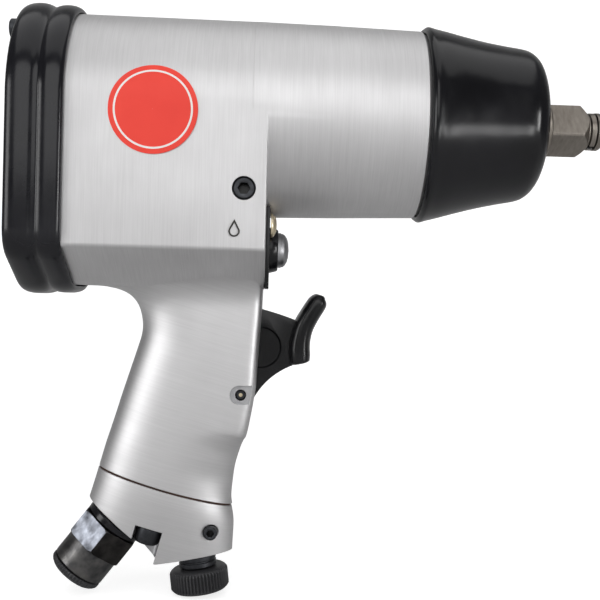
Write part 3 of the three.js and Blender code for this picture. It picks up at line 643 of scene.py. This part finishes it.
def boot():
    outer = smooth_curve([
        (-60.9, 31.75), (-60.3, 32.05), (-59.5, 31.95), (-57.6, 31.4), (-54.4, 30.65), (-48, 29.0),
        (-41.2, 27.4), (-34.4, 26.1), (-28.5, 25.1), (-25.9, 24.1), (-23.8, 22.2), (-22.3, 19.2),
        (-21.6, 15.5), (-21.4, 12.4), (-21.5, 10.3),
    ], 5)
    inner = [(-21.9, 9.7), (-23.4, 9.7), (-23.8, 10.2), (-23.8, 16), (-24.9, 19.2), (-27.3, 21.7),
             (-32, 23.3), (-61.4, 30.1), (-61.7, 30.5), (-61.6, 31.2)]

    def lifted(point, radius):
        """The soft nose rides up slightly, except near the shaft hole."""
        share = min(max((radius - 12) / 10, 0), 1)
        return Vector((0, 0, 0.03 * (point.x - BOOT_RIM) * share))

    piece = lathe("boot_skin", "x", outer + inner, VINYL, segments=128, shift=lifted)
    return finished(piece, "housing_body", ["front_boot"], 50)


boot()

# ---------------------------------------------------------------- anvil


def anvil():
    """Drive shaft: square and round nose in front, collar and shaft behind."""
    half = 12.7 / 2
    corner = 17.2 / 2
    square = block("anvil_drive", (-19.3, -5.3), (-half, half), (-half, half), DRIVE,
                   Matrix.Rotation(math.radians(17 - 45), 4, "X"))
    turned = lathe("turned", "x", [
        (-19.3, 0), (-19.3, corner), (-7.6, corner), (-5.3, 6.3), (-5.3, 0)], DRIVE, segments=96)
    combine(square, "INTERSECT", turned)
    shaft = lathe("shaft", "x", [
        (-109.4, 0), (-109.4, 6.4), (-106, 6.4), (-106, 9), (-63.6, 9), (-63.6, 10.4), (-26.8, 10.4),
        (-26.8, 9), (-18.6, 9), (-18.2, 8.6), (-18.2, 0)], DRIVE, segments=96)
    nose = lathe("nose", "x", [
        (-6.5, 0), (-6.5, 5.9), (-4.8, 5.9), (-4.8, 4.2), (-2.2, 4.2), (-2.2, 6.25), (-0.9, 6.25),
        (-0.3, 5.9), (0, 5.3), (-0.2, 0)], DRIVE, segments=96)
    jaws = block("jaws", (-106, -63.8), (-4, 4), (-11.4, 11.4), DRIVE)
    combine(square, "UNION", shaft, nose, jaws)
    return finished(square, "anvil_body", ["anvil"])


def split_ring():
    ring = lathe("retaining_ring", "x", [
        (-4.4, 5.35), (-4.4, 5.95), (-4.2, 6.15), (-2.8, 6.15), (-2.6, 5.95), (-2.6, 5.35)], DRIVE)
    gap = block("gap", (-6, -1), (-0.9, 0.9), (-8, 0), STEEL,
                Matrix.Rotation(math.radians(-20), 4, "X"))
    combine(ring, "DIFFERENCE", gap)
    return finished(ring, "anvil_body", ["friction_ring"])


def torus_profile(centre, radius, half, count=12):
    """Closed round profile of (along, radius)."""
    angles = [2 * math.pi * i / count for i in range(count)]
    return [(centre + half * math.cos(angle), radius + half * math.sin(angle)) for angle in angles]


anvil()
split_ring()
finished(lathe("retaining_seal", "x", torus_profile(-3.5, 4.78, 0.5), RUBBER), "anvil_body",
         ["friction_ring_seal"])

# ---------------------------------------------------------------- handle base

BASE_STATIONS = [
    (-SEAM_GAP, HANDLE_REAR, 22.7, HANDLE_HALF_WIDTH), (-5, HANDLE_REAR, 24.8, HANDLE_HALF_WIDTH),
    (-14, -23.3, 27, 10.8), (-32, -24, 31.5, 9.4),
]


def base():
    """Air inlet block under the handle, stepped at its foot, with its pockets and holes."""
    loops = [handle_loop(height, rear, front, half, 1.8)
             for height, rear, front, half in smooth_curve(BASE_STATIONS, 4)]
    piece = loops_object("base_block", loops, ALUMINIUM_HANDLE)
    profile = rounded_outline([
        (-170, -100), (-166.4, -113), (-167.3, -125.6), (-166, -136.5), (-152.4, -136.8),
        (-144.7, -145.3), (-120, -142.1), (-110, -142), (-110, -100)], 0.8, 3)
    combine(piece, "INTERSECT", prism("side_view", "y", profile, -20, 20, ALUMINIUM_HANDLE))
    pockets = []
    for low, high in ((-30, -2), (2, 30)):
        across = rounded_outline([(BASE_SCREW_U - 4.5, low), (BASE_SCREW_U + 4.5, low),
                                  (BASE_SCREW_U + 4.5, high), (BASE_SCREW_U - 4.5, high)], 2.5, 6)
        pockets.append(prism("pocket", "z", across, -60, -13, CUT, HANDLE_FRAME))
    holes = [lathe("screw_hole", "z", [(-20, 0), (-20, 2.8), (1, 2.8), (1, 0)], CUT,
                   HANDLE_FRAME @ Matrix.Translation((BASE_SCREW_U, side * BASE_SCREW_Y, 0)), 24)
             for side in (-1, 1)]
    combine(
        piece, "DIFFERENCE", *pockets, *holes,
        block("notch", (-20, 10.1), (-20, 20), (-20, 0), CUT, INLET_FRAME),
        lathe("inlet_hole", "z", [(-5, 0), (-5, 6.8), (7.3, 6.8), (7.3, 0)], CUT, INLET_FRAME, 48),
        lathe("regulator_hole", "z", [(-5, 0), (-5, 4.9), (11, 4.9), (11, 0)], CUT, REGULATOR_FRAME, 48),
        lathe("passage", "y", [(-20, 0), (-20, 2.5), (-5, 2.5), (-5, 0)], CUT,
              Matrix.Translation((PASSAGE_PLUG[0], 0, PASSAGE_PLUG[1])), 32),
    )
    return finished(piece, "housing_body", ["handle_base"])


def gasket():
    loops = [handle_loop(height, HANDLE_REAR + 0.45, 22.2, HANDLE_HALF_WIDTH - 0.25, 1.8)
             for height in (-0.27, 0.27)]
    piece = loops_object("base_gasket_sheet", loops, PAPER)
    return finished(piece, "housing_body", ["base_gasket"])


def base_screw(name, y):
    place = HANDLE_FRAME @ Matrix.Translation((BASE_SCREW_U, y, 0))
    screw = lathe(name, "z", [
        (-18.3, 0), (-18.3, 3.5), (-17.9, 3.95), (-17.4, 4.2), (-13.3, 4.2), (-13.3, 2.4), (-0.6, 2.4),
        (-0.6, 0)], OXIDE, place, 48)
    combine(screw, "DIFFERENCE", prism("socket", "z", hexagon(4.4), -20, -15.5, OXIDE, place))
    return finished(screw, "housing_body", [name])


def set_screw(name, radius, length, place, node):
    screw = lathe(name, "y", [
        (0.5, 0), (0, radius * 0.6), (0, radius - 0.4), (0.4, radius), (length, radius), (length, 0)],
        OXIDE, place, 48)
    outline = hexagon(radius)
    # The socket's inner faces take the black moulding: painted shade inside the hole
    combine(screw, "DIFFERENCE", prism("socket", "y", outline, -1, length * 0.85, MOULDED, place))
    return finished(screw, "housing_body", [node])


base()
gasket()
base_screw("base_screw_left", BASE_SCREW_Y)
base_screw("base_screw_right", -BASE_SCREW_Y)
set_screw("oil_filler_screw", 3.3, 5, Matrix.Translation((OIL_PLUG[0], -31.6, OIL_PLUG[1])), "oil_plug")
set_screw("passage_screw", 2.2, 4, Matrix.Translation((PASSAGE_PLUG[0], -9.6, PASSAGE_PLUG[1])),
          "air_passage_plug")

# ---------------------------------------------------------------- inlet and regulator


def ribbed(name, profile, ribs, depth, material, place, ribbed_from, ribbed_to):
    """Turned piece about Z whose wall between two heights carries straight ribs."""
    count = ribs * 6
    loops = []
    for along, radius in profile:
        on = ribbed_from <= along <= ribbed_to
        loop = []
        for i in range(count):
            angle = 2 * math.pi * i / count
            wave = (0.5 + 0.5 * math.cos(ribs * angle)) ** 0.7
            reach = radius - (depth * (1 - wave) if on else 0)
            loop.append(place @ Vector((reach * math.cos(angle), reach * math.sin(angle), along)))
        loops.append(loop)
    return loops_object(name, loops, material, closed_path=profile[0][1] > 0, capped=False)


# Every other flat of the inlet's hexagon takes a lighter steel: a painted highlight standing in for lamp
# light caught by those flats
HIGHLIGHT_FACETS = [INLET_FRAME.to_3x3() @ Vector((math.cos(math.radians(a)), math.sin(math.radians(a)), 0))
                 for a in (0, 120, 240)]


def inlet():
    """Air inlet: hexagon, round barrel and the stem inside the base."""
    nut = prism("inlet_nut", "z", hexagon(19, 30), -11.6, -2.8, BLACKED_STEEL, INLET_FRAME)
    # Flats facing the listed directions take the lighter steel, a painted highlight
    nut.data.materials.append(HIGHLIGHT_FACET_STEEL)
    for polygon in nut.data.polygons:
        if any(polygon.normal.dot(facet) > 0.99 for facet in HIGHLIGHT_FACETS):
            polygon.material_index = 1
    crown = lathe("crown", "z", [
        (-11.6, 0), (-11.6, 10.3), (-10.9, 10.97), (-3.3, 10.97), (-2.8, 10.4), (-2.8, 0)],
        WORN_STEEL, INLET_FRAME)
    combine(nut, "INTERSECT", crown)
    barrel = lathe("barrel", "z", [
        (-20.5, 0), (-20.5, 8.7), (-20.1, 9.1), (-11, 9.1), (-11, 0)],
        WORN_STEEL, INLET_FRAME)
    stem = lathe("stem", "z", [(-3, 0), (-3, 6.4), (6.8, 6.4), (6.8, 0)], WORN_STEEL, INLET_FRAME, 48)
    combine(nut, "UNION", barrel, stem)
    combine(
        nut, "DIFFERENCE",
        lathe("mouth", "z", [(-30, 0), (-30, 5.9), (-6, 5.9), (-6, 0)], WORN_STEEL, INLET_FRAME, 64),
        lathe("throat", "z", [(-7, 0), (-7, 4.2), (10, 4.2), (10, 0)], WORN_STEEL, INLET_FRAME, 48))
    return finished(nut, "housing_body", ["inlet_bushing"])


def dust_cap():
    piece = ribbed("dust_cap", [
        (-23.5, 0), (-23.5, 7.2), (-23.3, 7.9), (-22.8, 8.6), (-22.2, 9.05), (-21.2, 9.1), (-20.9, 8.9),
        (-20.9, 5.5), (-14, 5.5), (-14, 0)], 48, 0.35, GREY_MOULDED, INLET_FRAME, -22.9, -21.1)
    return finished(piece, "dust_cap_body", ["inlet_dust_cap"])


def knob():
    radius = 9.6
    piece = ribbed("regulator_grip", [
        (-12.1, 0), (-12.1, radius - 1.5), (-11.95, radius - 1.0), (-11.5, radius - 0.5),
        (-11.0, radius - 0.05), (-10.8, radius), (-6.1, radius), (-5.8, radius - 0.05),
        (-5.2, radius - 0.5), (-4.75, radius - 1.1), (-4.6, radius - 1.8), (-4.6, 2.6), (-9.5, 2.6),
        (-9.5, 0)], 52, 0.9, GREY_MOULDED, REGULATOR_FRAME, -11.1, -5.7)
    return finished(piece, "regulator_body", ["regulator_knob"], 50)


def gland():
    piece = lathe("regulator_neck", "z", [
        (-4.3, 2.6), (-4.3, 5.7), (-3.9, 6.15), (-2.6, 6.15), (-2.4, 5.8), (-2.0, 5.8), (-1.8, 6.15),
        (-0.7, 6.15), (-0.3, 5.8), (-0.3, 4.5), (9, 4.5), (9, 2.6)], OXIDE, REGULATOR_FRAME, 64)
    return finished(piece, "housing_body", ["regulator_gland"])


inlet()
dust_cap()
knob()
gland()
finished(lathe("inlet_ring", "z", [
    (-2.5, 6.8), (-2.5, 9.3), (-2.2, 9.6), (-0.6, 9.6), (-0.3, 9.3), (-0.3, 6.8)], RUBBER, INLET_FRAME),
    "housing_body", ["inlet_seal"])

# ---------------------------------------------------------------- trigger


# Finger pad in profile from its foot to its tip: x, z, half thickness and half width
PADDLE = [
    (-99.03, -79.85, 2.6, 7.6), (-99.08, -79.6, 3.1, 8.1), (-99.15, -79.1, 3.4, 8.4),
    (-99.35, -77, 3.7, 8.5), (-99.45, -74.5, 3.65, 8.5), (-99.1, -71.4, 3.5, 8.5),
    (-98.1, -67.7, 3.4, 8.5), (-96.2, -64.0, 3.3, 8.5), (-93.9, -60.2, 3.2, 8.5),
    (-93.3, -59.05, 2.9, 8.3), (-92.85, -58.2, 2.3, 7.8), (-92.5, -57.65, 1.5, 7.1),
    (-92.38, -57.4, 0.8, 6.4),
]
PADDLE_SQUARENESS = 3.0


def paddle(count=64):
    """Finger pad as rounded sections along its curved middle line."""
    rows = smooth_curve(PADDLE, 4)
    power = 2 / PADDLE_SQUARENESS
    loops = []
    for i, (x, z, half, width) in enumerate(rows):
        before, after = rows[max(i - 1, 0)], rows[min(i + 1, len(rows) - 1)]
        across = Vector((after[1] - before[1], 0, before[0] - after[0])).normalized()
        loop = []
        for k in range(count):
            angle = 2 * math.pi * k / count
            out = math.copysign(abs(math.cos(angle)) ** power, math.cos(angle)) * half
            aside = math.copysign(abs(math.sin(angle)) ** power, math.sin(angle)) * width
            loop.append(Vector((x, aside, z)) + across * out)
        loops.append(loop)
    return loops_object("paddle", loops, MOULDED)


def trigger():
    """Moulded lever: a web that carries the finger pad, dished on both sides."""
    web = [(-118.2, -61.6), (-113.3, -62)]
    web += quadratic(web[-1], (-107.5, -63.3), (-101, -65.6))
    web.append((-99.5, -79.8))
    web += quadratic(web[-1], (-109, -83), (-113.6, -91))
    web.append((-115, -93.6))
    web += arc(PIVOT, 4.2, -35, -170, 16)
    web.append((-120.2, -70))
    piece = prism("trigger_lever", "y", web, -4, 4, MOULDED)
    bevelled(piece, 0.5)
    combine(piece, "UNION", paddle())
    hollow = [(-8, 0), (-8, 6.9), (-4, 6.9), (-3, 6.3), (-3, 0)]
    place = Matrix.Translation((-112.1, 0, -74.9))
    combine(
        piece, "DIFFERENCE",
        lathe("dish", "y", hollow, MOULDED, place, 48),
        lathe("dish", "y", [(-along, radius) for along, radius in hollow], MOULDED, place, 48),
        pin_bore(MOULDED))
    return finished(piece, "trigger_body", ["trigger"])


trigger()
finished(lathe("trigger_pin_core", "y", [
    (-9.8, 0), (-9.8, 0.62), (-9, 0.68), (9, 0.68), (9.8, 0.62), (9.8, 0)], BRASS, PIN_FRAME, 24),
    "housing_body")
finished(lathe("trigger_roll_pin", "y", [
    (-9.9, 0.7), (-9.9, 1.3), (-9.7, 1.5), (9.7, 1.5), (9.9, 1.3), (9.9, 0.7)], OXIDE, PIN_FRAME, 32),
    "housing_body", ["trigger_pin"])

# ---------------------------------------------------------------- reverse control

PLATE_SCREWS = {"left": 9, "right": -9}
PLATE_SCREW_Z = -35.2


def plate():
    """Face plate of the reverse control, with a boss round the button."""
    outline = rounded_outline([(-13.5, -55.6), (13.5, -55.6), (13.5, -27), (-13.5, -27)], 1.5)
    piece = prism("reverse_face_plate", "x", outline, -111.28, -110, MOULDED)
    boss = lathe("boss", "x", [
        (-110.5, 0), (-110.5, 7.6), (-109.6, 7.5), (-107.7, 7.0), (-107.2, 6.6), (-107.2, 0)],
        MOULDED, REVERSE_FRAME, 64)
    combine(piece, "UNION", boss)
    combine(
        piece, "DIFFERENCE",
        lathe("barrel", "x", [(-120, 0), (-120, 32.2), (-100, 32.2), (-100, 0)], OXIDE, segments=128),
        lathe("bore", "x", [(-120, 0), (-120, 6.2), (-100, 6.2), (-100, 0)], OXIDE, REVERSE_FRAME, 48))
    bevelled(piece, 0.2, 2)
    return finished(piece, "housing_body", ["reverse_plate"])


def plate_screw(side, y):
    place = Matrix.Translation((0, y, PLATE_SCREW_Z))
    screw = lathe(f"plate_screw_{side}", "x", [
        (-109.7, 0), (-109.7, 3.9), (-109.3, 3.85), (-108.8, 3.5), (-108.3, 2.8), (-107.95, 1.9),
        (-107.8, 0)], BRASS, place, 48)
    slot = block("slot", (-108.6, -107), (-0.4, 0.4), (-5, 5), BRASS,
                 place @ Matrix.Rotation(math.radians(25), 4, "X"))
    combine(screw, "DIFFERENCE", slot)
    return finished(screw, "housing_body", [f"reverse_plate_screw_{side}"])


def button():
    piece = lathe("reverse_knob", "x", [
        (-113.4, 0), (-113.4, 5.8), (-106.4, 5.8), (-106.1, 5.6), (-105.5, 5.5), (-104.8, 4.9),
        (-104.2, 3.9), (-103.8, 2.4), (-103.6, 0)], GREY_STEEL, REVERSE_FRAME, 64)
    return finished(piece, "reverse_body", ["reverse_button"])


plate()
for screw_side, screw_across in PLATE_SCREWS.items():
    plate_screw(screw_side, screw_across)
button()

# ---------------------------------------------------------------- marks on the side

DECAL = (-145.7, -3.2)
DECAL_RADIUS = 13.4
OIL_MARK = (-120.7, -38.9)


def side_depth(z):
    """Distance of the body's side from the middle plane at height z."""
    if z >= 0:
        return math.sqrt(BODY_RADIUS ** 2 - z * z)
    return BODY_RADIUS + SIDE_DRAFT * z / (-BODY_BOTTOM - CHAMFER_HEIGHT)


def side_patch(name, rings, material, proud):
    """Thin sheet on the right side through rings of (x, z) of equal count, a closed solid."""
    front = [[(x, -side_depth(z) - proud, z) for x, z in ring] for ring in rings]
    back = [[(x, -side_depth(z) + 0.05, z) for x, z in ring] for ring in reversed(rings)]
    piece = loops_object(name, front + back, material, closed_path=True)
    return finished(piece, "housing_body")


def circle(centre, radius, count=96):
    return arc(centre, radius, 0, 360 * (count - 1) / count, count - 1)


def disc_rings(inner, outer, steps):
    return [circle(DECAL, inner + (outer - inner) * i / steps) for i in range(steps + 1)]


def drop(scale):
    """Outline of an oil drop, with its point up."""
    round_part = arc(OIL_MARK, 1.7 * scale, 150, 390, 40)
    tip = (OIL_MARK[0], OIL_MARK[1] + 3.6 * scale)
    return round_part[1:] + [tip]


side_patch("side_disc", disc_rings(0.05, DECAL_RADIUS, 14), RED_ENAMEL, 0.05)
side_patch("side_disc_ring", disc_rings(11.3, 11.9, 2), PALE_ENAMEL, 0.07)
side_patch("oil_mark", [drop(0.72), drop(1.0)], STAMP_INK, 0.03)

# ---------------------------------------------------------------- materials of the CAD nodes still shown

CAD_MATERIALS = {
    "rear_gasket": PAPER, "anvil_bushing": BRONZE, "anvil_seal": RUBBER, "inlet_strainer": BRASS,
    "throttle_seat": BRASS, "throttle_valve": BRASS, "reverse_bushing": BRONZE,
}
for node_name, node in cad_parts.items():
    if node.hide_render:
        continue
    looks = CAD_MATERIALS.get(node_name, RESIN if node_name.startswith("vane") else STEEL)
    node.data.materials.clear()
    node.data.materials.append(looks)

# ---------------------------------------------------------------- floor, lights and camera

FLOOR_Z = CAD_BOX[0][2] - 0.0004


def brighter_in_view(nodes, links, source, light, view):
    """Sets the source's strength to light, but to view where it is seen directly."""
    paths = nodes.new("ShaderNodeLightPath")
    strength = nodes.new("ShaderNodeMapRange")
    strength.inputs["To Min"].default_value = light
    strength.inputs["To Max"].default_value = view
    links.new(paths.outputs["Is Camera Ray"], strength.inputs["Value"])
    links.new(strength.outputs["Result"], source.inputs["Strength"])


def stage():
    """Pale floor that curves up into a backdrop."""
    profile = [(-1.6, 0.0), (0.35, 0.0)]
    profile += [(0.35 + 0.5 * math.sin(a), 0.5 - 0.5 * math.cos(a))
                for a in (math.radians(6 * i) for i in range(1, 16))]
    profile.append((0.85, 1.6))
    vertices, faces = [], []
    for y, z in profile:
        vertices += [(-2.4 / MM, y / MM, (z + FLOOR_Z) / MM), (2.2 / MM, y / MM, (z + FLOOR_Z) / MM)]
    for i in range(len(profile) - 1):
        faces.append((2 * i, 2 * i + 1, 2 * i + 3, 2 * i + 2))
    material, nodes, links = new_material("studio_paper")
    shader = nodes["Principled BSDF"]
    shader.inputs["Base Color"].default_value = (0.6, 0.6, 0.6, 1)
    shader.inputs["Roughness"].default_value = 0.9
    glow = nodes.new("ShaderNodeEmission")
    both = nodes.new("ShaderNodeAddShader")
    brighter_in_view(nodes, links, glow, 0.04, 0.75)
    links.new(shader.outputs[0], both.inputs[0])
    links.new(glow.outputs[0], both.inputs[1])
    links.new(both.outputs[0], nodes["Material Output"].inputs["Surface"])
    sweep = make_object("studio_sweep", vertices, faces, material)
    for polygon in sweep.data.polygons:
        polygon.use_smooth = True


def softbox(name, location, target, size, watts):
    lamp = bpy.data.lights.new(name, "AREA")
    lamp.shape = "RECTANGLE"
    lamp.size, lamp.size_y = size
    lamp.energy = watts
    holder = bpy.data.objects.new(name, lamp)
    holder.location = location
    direction = Vector(target) - Vector(location)
    holder.rotation_euler = direction.to_track_quat("-Z", "Y").to_euler()
    bpy.context.scene.collection.objects.link(holder)


stage()
MIDDLE = (-0.1, 0.0, -0.05)
softbox("front_softbox", (-0.1, -1.0, 0.4), MIDDLE, (1.2, 0.8), 5.9)
softbox("low_right_strip", (0.235, -0.37, -0.1), MIDDLE, (0.035, 0.09), 0.12)
softbox("top_softbox", (-0.1, -0.1, 0.9), MIDDLE, (1.3, 1.0), 4.0)
softbox("left_strip", (-1.0, -0.55, -0.02), MIDDLE, (0.36, 0.8), 4.4)
softbox("right_strip", (0.7, -0.6, -0.1), MIDDLE, (0.16, 0.6), 4.2)

world = bpy.data.worlds.new("studio")
world.use_nodes = True
sky = world.node_tree.nodes["Background"]
sky.inputs["Color"].default_value = (1, 1, 1, 1)
brighter_in_view(world.node_tree.nodes, world.node_tree.links, sky, 0.12, 0.85)
bpy.context.scene.world = world
bpy.context.scene.view_settings.view_transform = "Standard"

YAW = math.radians(1.9)
ROLL = math.radians(1.45)
FOCAL_MM = 56.7
SENSOR_MM = 36
CAMERA_PLACE = (-0.109848, -0.314827, -0.058984)


def camera():
    """Camera level with the middle of the tool, looking along +Y, slightly turned and rolled."""
    ahead = Vector((math.sin(YAW), math.cos(YAW), 0))
    side = Vector((math.cos(YAW), -math.sin(YAW), 0))
    up = Vector((0, 0, 1))
    right = math.cos(ROLL) * side + math.sin(ROLL) * up
    above = -math.sin(ROLL) * side + math.cos(ROLL) * up
    lens = bpy.data.cameras.new("photo_camera")
    lens.lens = FOCAL_MM
    lens.sensor_width = SENSOR_MM
    lens.clip_start = 0.01
    holder = bpy.data.objects.new("photo_camera", lens)
    turn = Matrix((right, above, -ahead)).transposed().to_4x4()
    holder.matrix_world = Matrix.Translation(CAMERA_PLACE) @ turn
    bpy.context.scene.collection.objects.link(holder)
    bpy.context.scene.camera = holder


camera()
